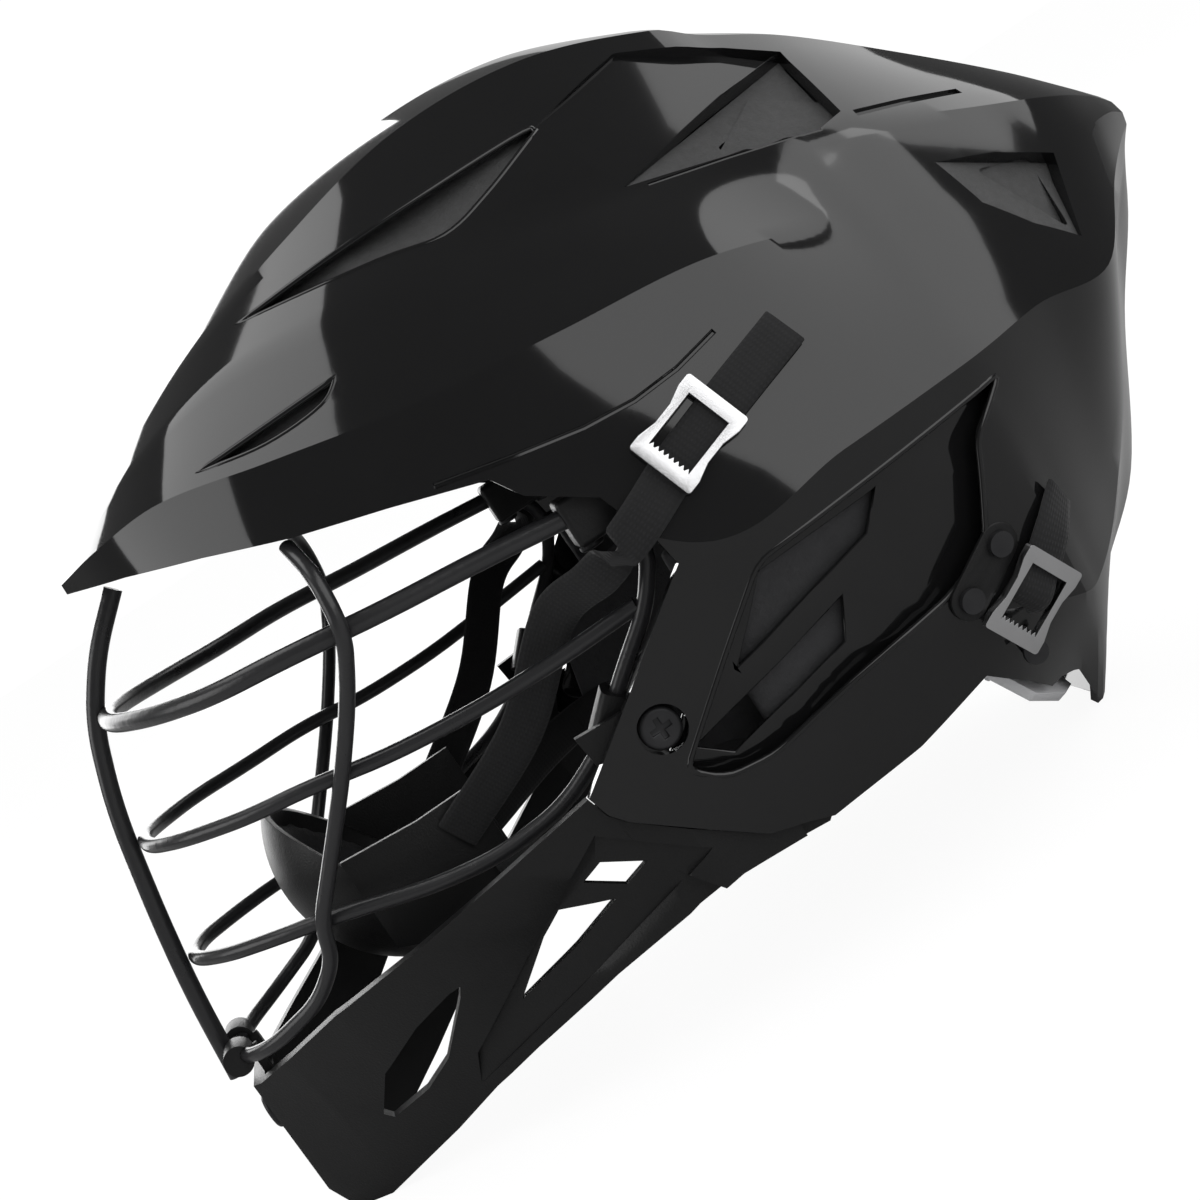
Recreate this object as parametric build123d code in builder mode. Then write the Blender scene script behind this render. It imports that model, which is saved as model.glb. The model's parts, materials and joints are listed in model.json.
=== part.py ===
"""Lacrosse helmet in millimetres: +Z up, front towards -Y, the wearer's left at +X.

The helmet stands on a table on the flat bottoms of its chin guard and its nape.
The origin is on that table, under the middle of the helmet.
"""

import os
from math import radians, tan

from build123d import *

# the helmet as it stands
half_length = 180.0
half_width = 108.0
height = 242.0
overrun = 30.0

# shell, chin guard and window panels
shell_wall = 3.2
guard_wall = 4.0
guard_tab_thickness = 2.8
panel_thickness = 2.4
panel_lap = 4.0
panel_gap = 0.8
seam_gap = 0.3
fit_gap = 0.3

# face guard wires, the clips that hold them and their sockets
thick_wire = 5.2
thin_wire = 4.2
clip_wall = 2.2
clip_length = 13.0
socket_length = 21.0
socket_width = 11.0
socket_height = 13.0
chin_clip_width = 30.0
chin_plate_width = 16.0
chin_clip_thickness = 2.4

# screws, rivets and their holes
head_diameter = 11.0
head_height = 2.4
shank_diameter = 4.0
screw_grip = 6.5
small_head_diameter = 6.5
small_head_height = 1.4
small_shank_diameter = 3.0
small_grip = 4.0
cross_width = 1.4
cross_length = 5.6
cross_depth = 1.0
small_cross_share = 0.6
hole_clearance = 0.1
small_hole_radius = small_shank_diameter / 2 + hole_clearance

# webbing and buckles
webbing_width = 11.5
webbing_thickness = 1.4
buckle_length = 23.0
buckle_width = 18.0
buckle_waist = 15.6
buckle_thickness = 2.2
buckle_bar = 3.8
buckle_rim = 1.9
tooth_count = 8
tooth_height = 1.0
buckle_gap = 0.4
tab_length = 26.0
tab_width = 10.5
tab_thickness = 1.2
tab_offset = 14.3
slot_length = 12.0
crease_gap = 0.6

# liner
pad_thickness = 13.0
pad_clearance = 1.15

# chin cup
cup_radius = 40.0
cup_wall = 2.6
cup_depth = 25.0
cup_pad_thickness = 5.0
cup_tab_thickness = 2.0

# nape cradle
cradle_thickness = 3.0
cradle_height = 12.0
cradle_travel = 10.0
cradle_slot_width = 3.4
boss_radius = 4.6

os.makedirs("parts", exist_ok=True)


def along(share):
    """Length along Y from a share of the half length."""
    return share * half_length


def across(share):
    """Length along X from a share of the half width."""
    return share * half_width


def up(share):
    """Height above the table from a share of the full height."""
    return share * height


def side_view(shares):
    """Points of a side view outline, as (y, z), from its shares."""
    return [(along(y), up(z)) for y, z in shares]


def spot(shares):
    """Point in space from its shares of half width, half length and height."""
    x, y, z = shares
    return Vector(across(x), along(y), up(z))


def save(piece, name):
    """Label one piece and write its file."""
    piece.label = name
    export_step(piece, f"parts/{name}.step")


def save_pair(piece, name):
    """Write a piece of the left side and its mirror image on the right."""
    save(piece, f"{name}_left")
    save(piece.mirror(Plane.YZ), f"{name}_right")


def drawn_in(points, depth):
    """Corners of an anticlockwise outline, moved inwards by one depth."""
    count = len(points)
    inner = []
    for index in range(count):
        before, here, after = (Vector(*points[(index + step) % count]) for step in (-1, 0, 1))
        first = (here - before).normalized()
        second = (after - here).normalized()
        inward = Vector(-first.Y - second.Y, first.X + second.X).normalized()
        moved = here + inward * (depth / inward.dot(Vector(-first.Y, first.X)))
        inner.append((moved.X, moved.Y))
    return inner


def both_sides(half):
    """Closed outline from its half at +X, listed from the middle outwards."""
    mirrored = [(-x, y) for x, y in half]
    return [point for point in mirrored if point[0] < 0] + half[::-1]


# Shell stations from the visor's tip to the back: a share of the half length, and the
# half section from the crest down over the two ridges, the cheek line and the rim.
shell_shares = [
    (-0.77, [
        (0, 0.785), (0.03, 0.785), (0.06, 0.783), (0.08, 0.78), (0.09, 0.77), (0.09, 0.75), (0.07, 0.735),
    ]),
    (-0.69, [
        (0, 0.82), (0.09, 0.82), (0.19, 0.81), (0.30, 0.79), (0.33, 0.75), (0.34, 0.70), (0.33, 0.60),
    ]),
    (-0.57, [
        (0, 0.87), (0.20, 0.865), (0.33, 0.845), (0.50, 0.795), (0.56, 0.725), (0.57, 0.655), (0.56, 0.45),
    ]),
    (-0.415, [
        (0, 0.92), (0.26, 0.91), (0.43, 0.87), (0.68, 0.77), (0.74, 0.69), (0.78, 0.60), (0.80, 0.35),
    ]),
    (-0.22, [
        (0, 0.97), (0.27, 0.955), (0.57, 0.855), (0.81, 0.74), (0.86, 0.65), (0.90, 0.415), (0.86, 0.10),
    ]),
    (0, [
        (0, 1), (0.27, 0.985), (0.61, 0.835), (0.86, 0.72), (0.98, 0.475), (0.93, 0.31), (0.82, 0.08),
    ]),
    (0.22, [
        (0, 0.99), (0.26, 0.975), (0.59, 0.80), (0.84, 0.70), (1, 0.475), (0.91, 0.265), (0.70, 0.08),
    ]),
    (0.415, [
        (0, 0.94), (0.25, 0.925), (0.57, 0.76), (0.735, 0.655), (0.96, 0.475), (0.84, 0.20), (0.32, 0.045),
    ]),
    (0.47, [
        (0, 0.915), (0.25, 0.90), (0.565, 0.745), (0.725, 0.64), (0.93, 0.475), (0.73, 0.19), (0.14, -0.02),
    ]),
    (0.58, [
        (0, 0.865), (0.24, 0.85), (0.55, 0.715), (0.70, 0.605), (0.84, 0.475), (0.54, 0.22), (0.10, 0.095),
    ]),
    (0.72, [
        (0, 0.78), (0.23, 0.765), (0.50, 0.67), (0.615, 0.575), (0.72, 0.46), (0.45, 0.335), (0.12, 0.20),
    ]),
    (0.85, [
        (0, 0.695), (0.22, 0.68), (0.42, 0.63), (0.47, 0.58), (0.49, 0.52), (0.30, 0.45), (0.10, 0.36),
    ]),
    (0.945, [
        (0, 0.63), (0.15, 0.62), (0.25, 0.60), (0.29, 0.575), (0.27, 0.54), (0.20, 0.51), (0.09, 0.46),
    ]),
    (1, [
        (0, 0.593), (0.07, 0.59), (0.13, 0.577), (0.155, 0.561), (0.14, 0.546), (0.105, 0.536), (0.06, 0.53),
    ]),
]

# Side view lines, as shares of the half length and the height.
visor_edge_shares = [
    (-0.77, 0.768), (-0.67, 0.75), (-0.56, 0.725), (-0.445, 0.695), (-0.315, 0.668), (-0.185, 0.638),
]
temple_edge_shares = [(-0.16, 0.607), (-0.08, 0.566), (-0.05, 0.50), (-0.043, 0.471)]
seam_shares = [
    (-0.31, 0.318), (-0.30, 0.293), (-0.283, 0.277), (-0.133, 0.186), (-0.078, 0.172), (-0.044, 0.161),
]
rim_shares = [(0.11, 0.165), (0.245, 0.182), (0.31, 0.135), (0.377, 0.079), (0.43, 0.035), (0.455, 0)]
window_shares = [
    (-0.183, 0.289), (0.044, 0.43), (0.47, 0.446), (0.39, 0.405), (0.37, 0.372),
    (0.328, 0.31), (0.25, 0.285), (0.067, 0.269), (-0.067, 0.252), (-0.139, 0.26),
]
upper_brow_vent_shares = [
    (-0.34, 0.908), (-0.17, 0.913), (0.13, 0.913), (0.17, 0.905),
    (0.05, 0.876), (-0.035, 0.864), (-0.13, 0.88),
]
lower_brow_vent_shares = [(-0.55, 0.81), (-0.26, 0.80), (-0.33, 0.777), (-0.45, 0.793)]
crown_vent_shares = [(0.36, 0.80), (0.48, 0.79), (0.54, 0.744), (0.40, 0.76)]
rear_vent_shares = [(0.69, 0.607), (0.77, 0.58), (0.77, 0.51), (0.72, 0.54)]
upper_window_shares = [(0.044, 0.417), (0.233, 0.421), (0.194, 0.388), (-0.045, 0.347)]
lower_window_shares = [(0.122, 0.347), (0.095, 0.306), (-0.11, 0.273), (-0.15, 0.30)]

# Neck opening in plan: shares of the half width and the half length.
neck_cut_share = 0.13
neck_shares = [(0, 0.465), (0.25, 0.455), (0.45, 0.42), (0.52, 0.38), (0.60, 0.30)]


def section(station, depth):
    """Closed shell section of one station, drawn in by one depth."""
    half = [(across(x), up(z)) for x, z in station]
    outline = both_sides(half)
    return drawn_in(outline, depth) if depth else outline


def dome(depth, first=0, last=len(shell_shares)):
    """Body under the shell's outer face by one depth, through some of the stations."""
    keep = 1 - depth / half_length
    with BuildPart() as body:
        for share, station in shell_shares[first:last]:
            with BuildSketch(Plane.XZ.offset(-along(share) * keep)):
                with BuildLine():
                    Polyline(section(station, depth), close=True)
                make_face()
        loft(ruled=True)
    return body.part


def prism(shares, shift=0):
    """Side view outline taken right through the helmet."""
    with BuildPart() as body:
        with BuildSketch(Plane.YZ):
            with BuildLine():
                Polyline([(y + shift, z + shift) for y, z in side_view(shares)], close=True)
            make_face()
        extrude(amount=half_width + overrun, both=True)
    return body.part


def outer_half_width(y, z):
    """Half width of the shell's outer face at one place of the side view."""
    widths = []
    stations = [(along(share), station) for share, station in shell_shares]
    before = max((entry for entry in stations if entry[0] <= y), key=lambda entry: entry[0])
    after = min((entry for entry in stations if entry[0] > y), key=lambda entry: entry[0])
    for _, station in (before, after):
        corners = [(across(x), up(level)) for x, level in station]
        for (x0, z0), (x1, z1) in zip(corners, corners[1:]):
            if z1 <= z <= z0:
                widths.append(x0 + (x1 - x0) * (z0 - z) / (z0 - z1))
                break
    reach = (y - before[0]) / (after[0] - before[0])
    return widths[0] + (widths[1] - widths[0]) * reach


def on_shell(y_share, z_share, gap, heading):
    """Plane a gap off the shell at a place of the side view, its x axis along a heading."""
    y, z = along(y_share), up(z_share)
    step = webbing_width / 2
    rise = (outer_half_width(y, z + step) - outer_half_width(y, z - step)) / (2 * step)
    run = (outer_half_width(y + step, z) - outer_half_width(y - step, z)) / (2 * step)
    normal = Vector(1, -run, -rise).normalized()
    lie = Vector(*heading)
    lie = (lie - normal * lie.dot(normal)).normalized()
    return Plane(Vector(outer_half_width(y, z), y, z) + normal * gap, x_dir=lie, z_dir=normal)


# Shell: one thick skin with its visor. The face opening, the rim, the windows and the
# vents are cut along X, and the neck opening along Z.
open_front_shares = (
    [(-1.3, -0.2), (-1.3, 0.768)]
    + visor_edge_shares
    + temple_edge_shares
    + seam_shares
    + rim_shares
    + [(0.455, -0.2)]
)
vent_shares = [upper_brow_vent_shares, lower_brow_vent_shares, crown_vent_shares, rear_vent_shares]
cuts = [prism(shares) for shares in [open_front_shares, window_shares] + vent_shares]
shell_outside = dome(0)
shell_inside = dome(shell_wall, first=1)
cheek_shares = (0.87, -0.178, 0.339)
cheek = spot(cheek_shares)
cheek_places = [Location(cheek, (0, 90, 0)), Location((-cheek.X, cheek.Y, cheek.Z), (0, -90, 0))]
neck_half = [(across(x), along(y)) for x, y in neck_shares]
neck_end = neck_half[-1][0]

# Webbing at the rear comes out through a slot in each side, right under its buckle.
rear_heading = (0, -0.87, -0.49)
rear_buckle_shares = (0.34, 0.238)
rear_seat = on_shell(*rear_buckle_shares, 0, rear_heading)
slot_centre = rear_seat.origin + rear_seat.x_dir * (buckle_length - slot_length) / 2
slot_seat = Plane(slot_centre, x_dir=rear_seat.x_dir, z_dir=rear_seat.z_dir)
slot = slot_seat.location * Box(slot_length, webbing_width + 2 * webbing_thickness, 5 * shell_wall)
slots = [slot, slot.mirror(Plane.YZ)]

# The nape rivets pass through a boss in each side of the shell.
rivet_shares = (0.32, 0.175)
rivet_y, rivet_z = along(rivet_shares[0]), up(rivet_shares[1])
boss_face = outer_half_width(rivet_y, rivet_z + small_head_diameter / 2) + fit_gap
cradle_run_shares = [(0.54, 0.32, 0.12), (0.41, 0.372, 0.085), (0.22, 0.415, 0.062), (0, 0.433, 0.058)]
cradle_seat_share = 0.588
cradle_seat = across(cradle_seat_share)
boss_inside = cradle_seat + cradle_thickness + fit_gap
rivet_places = [Location((0, rivet_y, rivet_z), (0, turn, 0)) for turn in (90, -90)]

with BuildPart() as shell:
    add(shell_outside)
    for cut in [shell_inside] + cuts + slots:
        add(cut, mode=Mode.SUBTRACT)
    with Locations([place * Pos(0, 0, boss_inside) for place in rivet_places]):
        Cylinder(boss_radius, boss_face - boss_inside, align=(Align.CENTER, Align.CENTER, Align.MIN))
    with Locations([place * Pos(0, 0, boss_inside) for place in rivet_places]):
        Cylinder(small_hole_radius, 4 * (boss_face - boss_inside), mode=Mode.SUBTRACT)
    split(bisect_by=Plane.XY, keep=Keep.TOP)
    with BuildSketch(Plane.XY):
        with BuildLine():
            neck_line = [(-x, y) for x, y in neck_half[:0:-1]] + neck_half
            Polyline(neck_line + [(neck_end, 0), (-neck_end, 0)], close=True)
        make_face()
    extrude(amount=up(neck_cut_share), mode=Mode.SUBTRACT)
    with Locations(cheek_places):
        Cylinder(
            head_diameter / 2 + fit_gap,
            screw_grip,
            align=(Align.CENTER, Align.CENTER, Align.MIN),
            mode=Mode.SUBTRACT,
        )
        Cylinder(shank_diameter / 2 + hole_clearance, 3 * screw_grip, mode=Mode.SUBTRACT)
save(shell.part, "shell")

# Window panels: a thin layer behind each side window, with two openings and the
# slanted blade between them. They are lapped behind the window's edge all round.
panel_depth = shell_wall + panel_gap
panel_layer = dome(panel_depth, first=3, last=10) - dome(panel_depth + panel_thickness, first=3, last=10)
with BuildPart() as panel_area:
    with BuildSketch(Plane.YZ):
        with BuildLine():
            Polyline(side_view(window_shares), close=True)
        make_face()
        offset(amount=panel_lap)
        for shares in (upper_window_shares, lower_window_shares):
            with BuildLine():
                Polyline(side_view(shares), close=True)
            make_face(mode=Mode.SUBTRACT)
    extrude(amount=half_width + overrun)
with BuildPart() as window_panel:
    add(panel_area.part)
    add(panel_layer, mode=Mode.INTERSECT)
save_pair(window_panel.part, "window_panel")


# Chin guard: a matte frame, bent round the jaw. Its plan is wider at the top, its side
# view has the seam under the shell, and a tab on each side goes behind the shell.
guard_top_shares = [
    (0, -0.967), (0.13, -0.967), (0.28, -0.91), (0.47, -0.79),
    (0.63, -0.64), (0.76, -0.47), (0.86, -0.31), (0.88, 0.06),
]
guard_bottom_shares = [
    (0, -0.967), (0.08, -0.967), (0.20, -0.86), (0.34, -0.73),
    (0.47, -0.61), (0.62, -0.455), (0.79, -0.26), (0.84, 0.06),
]
guard_upper_edge_shares = [(-1.2, 0.18), (-0.95, 0.19), (-0.78, 0.235), (-0.31, 0.318)]
guard_lower_edge_shares = [
    (-0.05, 0.157), (-0.125, 0.162), (-0.19, 0.166), (-0.26, 0.161), (-0.407, 0.134), (-0.56, 0.098),
    (-0.643, 0.076), (-0.73, 0.046), (-0.83, 0.016), (-0.885, 0), (-0.94, 0), (-0.975, 0.05), (-1.2, 0.08),
]
guard_side_shares = guard_upper_edge_shares + seam_shares[1:] + guard_lower_edge_shares
guard_window_shares = [
    [(-0.378, 0.24), (-0.344, 0.251), (-0.29, 0.228), (-0.329, 0.216)],
    [(-0.427, 0.226), (-0.353, 0.208), (-0.43, 0.183), (-0.541, 0.154), (-0.465, 0.207)],
    [
        (-0.603, 0.202), (-0.624, 0.20), (-0.693, 0.18), (-0.775, 0.144), (-0.816, 0.098),
        (-0.804, 0.089), (-0.733, 0.106), (-0.681, 0.13), (-0.613, 0.19),
    ],
]
guard_tab_shares = [
    (-0.28, 0.372), (-0.11, 0.372), (-0.205, 0.312), (-0.235, 0.273), (-0.20, 0.231), (-0.26, 0.231),
]
guard_top_share = 0.37
guard_top = up(guard_top_share)


def guard_body(depth):
    """Body inside the chin guard's outer face by one depth."""
    with BuildPart() as body:
        for shares, level in ((guard_bottom_shares, 0), (guard_top_shares, guard_top)):
            half = [(across(x), along(y)) for x, y in shares]
            with BuildSketch(Plane.XY.offset(level)):
                with BuildLine():
                    ring = both_sides(half)
                    Polyline(drawn_in(ring[::-1], depth) if depth else ring, close=True)
                make_face()
        loft(ruled=True)
    return body.part


guard_outside = guard_body(0)
guard_inside = guard_body(guard_wall)
guard_side = prism(guard_side_shares, shift=-seam_gap)
guard_windows = [prism(shares) for shares in guard_window_shares]
tab_depth = shell_wall + panel_gap
tab_layer = dome(tab_depth, first=3, last=8) - dome(tab_depth + guard_tab_thickness, first=3, last=8)
guard_tab = prism(guard_tab_shares)
guard_blend_shares = [(-0.31, 0.33), (-0.09, 0.33), (-0.09, 0.14), (-0.20, 0.14), (-0.28, 0.22)]
guard_blend = dome(0, first=3, last=8) - dome(tab_depth + guard_tab_thickness, first=3, last=8)
guard_blend = guard_blend & guard_side & prism(guard_blend_shares)
chin_hole_shares = (0, -0.967, 0.14)
chin_hole = spot(chin_hole_shares)

with BuildPart() as chin_guard:
    add(guard_outside)
    add(guard_inside, mode=Mode.SUBTRACT)
    add(guard_side, mode=Mode.INTERSECT)
    for window in guard_windows:
        add(window, mode=Mode.SUBTRACT)
    add(tab_layer & guard_tab)
    add(guard_blend)
    with Locations(cheek_places):
        Cylinder(shank_diameter / 2 + hole_clearance, 4 * screw_grip, mode=Mode.SUBTRACT)
    with Locations(Location(chin_hole, (90, 0, 0))):
        Cylinder(shank_diameter / 2 + hole_clearance, 4 * guard_wall, mode=Mode.SUBTRACT)
save(chin_guard.part, "chin_guard")

# Face guard: bent wires, welded where they touch. The thick centre bar stands in front
# of the three loops, and one thin wire makes both side bars and crosses over the chin.
centre_bar_shares = [
    (0, -0.715, 0.745), (0, -0.79, 0.695), (0, -0.855, 0.63), (0, -0.905, 0.535),
    (0, -0.945, 0.405), (0, -0.97, 0.305), (0, -0.987, 0.198),
]
top_loop_shares = [
    (0, -0.835, 0.63), (0.24, -0.815, 0.625), (0.465, -0.745, 0.615), (0.63, -0.655, 0.605),
    (0.73, -0.545, 0.60), (0.78, -0.39, 0.585), (0.805, -0.25, 0.575), (0.845, -0.09, 0.56),
]
middle_loop_shares = [
    (0, -0.895, 0.49), (0.15, -0.88, 0.485), (0.315, -0.82, 0.48),
    (0.445, -0.72, 0.47), (0.53, -0.62, 0.465),
    (0.595, -0.505, 0.45), (0.675, -0.365, 0.443), (0.76, -0.235, 0.445), (0.815, -0.11, 0.45),
]
lower_loop_shares = [
    (0, -0.935, 0.345), (0.11, -0.92, 0.345), (0.22, -0.87, 0.34), (0.315, -0.80, 0.335),
    (0.405, -0.70, 0.325), (0.53, -0.55, 0.302), (0.61, -0.45, 0.297), (0.695, -0.34, 0.31),
    (0.75, -0.25, 0.345), (0.785, -0.19, 0.39),
    (0.825, -0.10, 0.445), (0.845, -0.06, 0.49), (0.84, -0.065, 0.525), (0.83, -0.09, 0.548),
]
side_bar_shares = [
    (0, -0.96, 0.225), (0.15, -0.945, 0.225), (0.26, -0.89, 0.23), (0.335, -0.795, 0.25),
    (0.385, -0.74, 0.285), (0.435, -0.72, 0.33), (0.50, -0.65, 0.39), (0.595, -0.57, 0.46),
    (0.695, -0.50, 0.53), (0.82, -0.455, 0.59),
    (0.79, -0.445, 0.65), (0.66, -0.455, 0.688),
]
bend_share = 0.45


def bend_radii(points):
    """Radius of each bend, as large as its two runs allow."""
    radii = []
    for before, here, after in zip(points, points[1:], points[2:]):
        turn = radians((here - before).get_angle(after - here))
        radii.append(bend_share * min((here - before).length, (after - here).length) / tan(turn / 2))
    return radii


def wire_through(points, diameter):
    """Bent round wire along a route."""
    with BuildPart() as wire:
        with BuildLine() as route:
            FilletPolyline(points, radius=bend_radii(points))
        with BuildSketch(Plane(origin=route.line @ 0, z_dir=route.line % 0)):
            Circle(diameter / 2)
        sweep()
    return wire.part


def loop_through(half_shares, diameter):
    """Wire bent round the face, from the half of its route at +X."""
    half = [spot(shares) for shares in half_shares]
    far_half = [Vector(-point.X, point.Y, point.Z) for point in half[:0:-1]]
    return wire_through(far_half + half, diameter)


save(wire_through([spot(shares) for shares in centre_bar_shares], thick_wire), "centre_bar")
save(loop_through(top_loop_shares, thick_wire), "top_loop")
save(loop_through(middle_loop_shares, thin_wire), "middle_loop")
save(loop_through(lower_loop_shares, thin_wire), "lower_loop")
save(loop_through(side_bar_shares, thin_wire), "side_bars")


def band_through(planes):
    """Webbing through a row of planes: x across the webbing, y through its thickness."""
    with BuildPart() as band:
        for plane in planes:
            with BuildSketch(plane):
                Rectangle(webbing_width, webbing_thickness)
        loft(ruled=True)
    return band.part


def cross_head(diameter, thickness, length, width, depth):
    """Pan head with a cross recess, seated on the plane in use."""
    with BuildPart() as head:
        Cylinder(diameter / 2, thickness, align=(Align.CENTER, Align.CENTER, Align.MIN))
        fillet(head.edges().filter_by(GeomType.CIRCLE).sort_by(Axis.Z)[-1], thickness / 2)
        with Locations((0, 0, thickness)):
            for size in ((length, width), (width, length)):
                Box(*size, 2 * depth, mode=Mode.SUBTRACT)
    return head.part


def pin(diameter, length):
    """Plain shank under a head."""
    return Cylinder(diameter / 2, length, align=(Align.CENTER, Align.CENTER, Align.MAX))


screw = cross_head(head_diameter, head_height, cross_length, cross_width, cross_depth)
screw = screw + pin(shank_diameter, screw_grip)
small_screw = cross_head(
    small_head_diameter,
    small_head_height,
    cross_length * small_cross_share,
    cross_width * small_cross_share,
    cross_depth * small_cross_share,
) + pin(small_shank_diameter, small_grip)

# Screws: one through each cheek, and one into the front of the chin guard.
save(cheek_places[0] * screw, "cheek_screw_left")
save(cheek_places[1] * screw, "cheek_screw_right")

# Sockets: a block behind each temple takes the ends of two wires, held by two screws.
socket_shares = (0.82, -0.075, 0.556)
socket_centre = spot(socket_shares)
top_loop_hole = loop_through(top_loop_shares, thick_wire + hole_clearance)
lower_loop_hole = loop_through(lower_loop_shares, thin_wire + hole_clearance)
screw_spread = (socket_length - small_head_diameter) / 2
socket_screw_places = [
    Location(socket_centre + Vector(0, side * screw_spread, -socket_height / 2), (180, 0, 0))
    for side in (-1, 1)
]
with BuildPart() as loop_socket:
    with Locations(socket_centre):
        Box(socket_width, socket_length, socket_height)
    fillet(loop_socket.edges(), socket_width / 8)
    for hole in (top_loop_hole, lower_loop_hole):
        add(hole, mode=Mode.SUBTRACT)
    with Locations(socket_screw_places):
        Cylinder(small_hole_radius, 2 * small_grip, mode=Mode.SUBTRACT)
save_pair(loop_socket.part, "loop_socket")
save_pair(Compound([place * small_screw for place in socket_screw_places]), "socket_screws")

# Side clips: a sleeve round the lower loop behind each cheek screw.
clip_low, clip_high = (spot(lower_loop_shares[index]) for index in (8, 9))
clip_heading = (clip_high - clip_low).normalized()
clip_plane = Plane((clip_low + clip_high) / 2, x_dir=(1, 0, 0), z_dir=clip_heading)
clip_size = thin_wire + 2 * clip_wall
with BuildPart() as side_clip:
    with BuildSketch(clip_plane.offset(-clip_length / 2)):
        RectangleRounded(clip_size, clip_size, clip_wall)
    extrude(amount=clip_length)
    add(lower_loop_hole, mode=Mode.SUBTRACT)
save_pair(side_clip.part, "side_clip")

# Chin clip: a plate behind the front of the guard, with two collars over it that hold
# the crossing wire. The screw goes through the guard into the plate.
plate_edge_share = 0.7
collar_radius = thin_wire / 2 + clip_wall
side_bar_hole = loop_through(side_bar_shares, thin_wire + hole_clearance)
centre_bar_hole = wire_through([spot(shares) for shares in centre_bar_shares], thick_wire + hole_clearance)
chin_top = spot(side_bar_shares[0])
chin_front = along(guard_top_shares[0][1])
plate_top = chin_top.Z
plate_bottom = chin_hole.Z - head_diameter * plate_edge_share
with BuildPart() as chin_clip:
    with BuildSketch(Plane.XZ.offset(-chin_front - guard_wall - fit_gap - chin_clip_thickness)):
        with Locations((0, (plate_top + plate_bottom) / 2)):
            RectangleRounded(chin_plate_width, plate_top - plate_bottom, clip_wall)
    extrude(amount=chin_clip_thickness)
    with Locations(Location(chin_top, (0, 90, 0))):
        Cylinder(collar_radius, chin_clip_width)
    with Locations(chin_top):
        Box(chin_clip_width / 3, 4 * collar_radius, 4 * collar_radius, mode=Mode.SUBTRACT)
    for hole in (side_bar_hole, centre_bar_hole):
        add(hole, mode=Mode.SUBTRACT)
    with Locations(Location(chin_hole, (90, 0, 0))):
        Cylinder(shank_diameter / 2 + hole_clearance, 4 * guard_wall, mode=Mode.SUBTRACT)
save(chin_clip.part, "chin_clip")
chin_seat = Vector(0, chin_front, chin_hole.Z)
save(Location(chin_seat, (90, 0, 0)) * screw, "chin_screw")

# Buckles: a waisted frame with a toothed bar, lying over the webbing. The frame tips up
# about its plain bar to let the webbing slip.
webbing_seat = 2 * fit_gap + webbing_thickness / 2
buckle_seat = webbing_seat + webbing_thickness / 2 + buckle_gap
opening_length = buckle_length - 2 * buckle_bar
opening_width = buckle_waist - 2 * buckle_rim
tooth_pitch = opening_width / tooth_count


def buckle_on(plane):
    """Buckle on one plane, its toothed bar at the plane's +X end."""
    half = [
        (-buckle_length / 2, buckle_width / 2),
        (-buckle_length / 2 + buckle_bar, buckle_width / 2),
        (-buckle_length / 8, buckle_waist / 2),
        (buckle_length / 8, buckle_waist / 2),
        (buckle_length / 2 - buckle_bar, buckle_width / 2),
        (buckle_length / 2, buckle_width / 2),
    ]
    with BuildPart() as buckle:
        with BuildSketch(plane) as frame:
            with BuildLine():
                Polyline(half + [(x, -y) for x, y in half[::-1]], close=True)
            make_face()
            fillet(frame.vertices(), buckle_rim / 2)
            Rectangle(opening_length, opening_width, mode=Mode.SUBTRACT)
            for count in range(tooth_count):
                side = opening_width / 2 - count * tooth_pitch
                with BuildLine():
                    Polyline(
                        (opening_length / 2 + tooth_height / 4, side),
                        (opening_length / 2 - tooth_height, side - tooth_pitch / 2),
                        (opening_length / 2 + tooth_height / 4, side - tooth_pitch),
                        close=True,
                    )
                make_face()
        extrude(amount=buckle_thickness)
    return buckle.part


front_heading = (0, -0.95, -0.31)
front_buckle_shares = (0.06, 0.567)
front_buckle_plane = on_shell(*front_buckle_shares, buckle_seat, front_heading)
rear_buckle_plane = on_shell(*rear_buckle_shares, buckle_seat + crease_gap, rear_heading)
save_pair(buckle_on(front_buckle_plane), "front_buckle")
save_pair(buckle_on(rear_buckle_plane), "rear_buckle")

# Webbing: each strap starts at its free tail, runs over the shell and under its buckle,
# and then inside the face opening or the shell to the tab of the chin cup.
front_tail_shares = [(0.25, 0.602), (0.22, 0.596), (0.135, 0.578), (0.015, 0.548), (-0.065, 0.522)]
front_run_shares = [(0.87, -0.135, 0.50), (0.72, -0.21, 0.48), (0.56, -0.33, 0.39), (0.355, -0.49, 0.318)]
front_lie = (0.1, 0.5, -0.86)
rear_tail_shares = [(0.455, 0.306), (0.415, 0.282), (0.375, 0.2575), (0.338, 0.237)]
rear_run_shares = [(0.292, 0.218, 1.8), (0.20, 0.20, 2.2), (0.08, 0.225, 3.6)]
rear_free_shares = [(0.66, -0.22, 0.26), (0.355, -0.465, 0.245)]
rear_lie = (0, 0.1, -1)


def laid(seat):
    """Section plane of webbing that lies along the x axis of a seat on the shell."""
    return Plane(seat.origin, x_dir=seat.y_dir, z_dir=seat.x_dir)


def hung(points, lie):
    """Section planes of a free run of webbing, square to its route."""
    planes = []
    for index in range(1, len(points)):
        ahead = points[min(index + 1, len(points) - 1)]
        planes.append(Plane(points[index], x_dir=lie, z_dir=(ahead - points[index - 1]).normalized()))
    return planes


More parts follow.
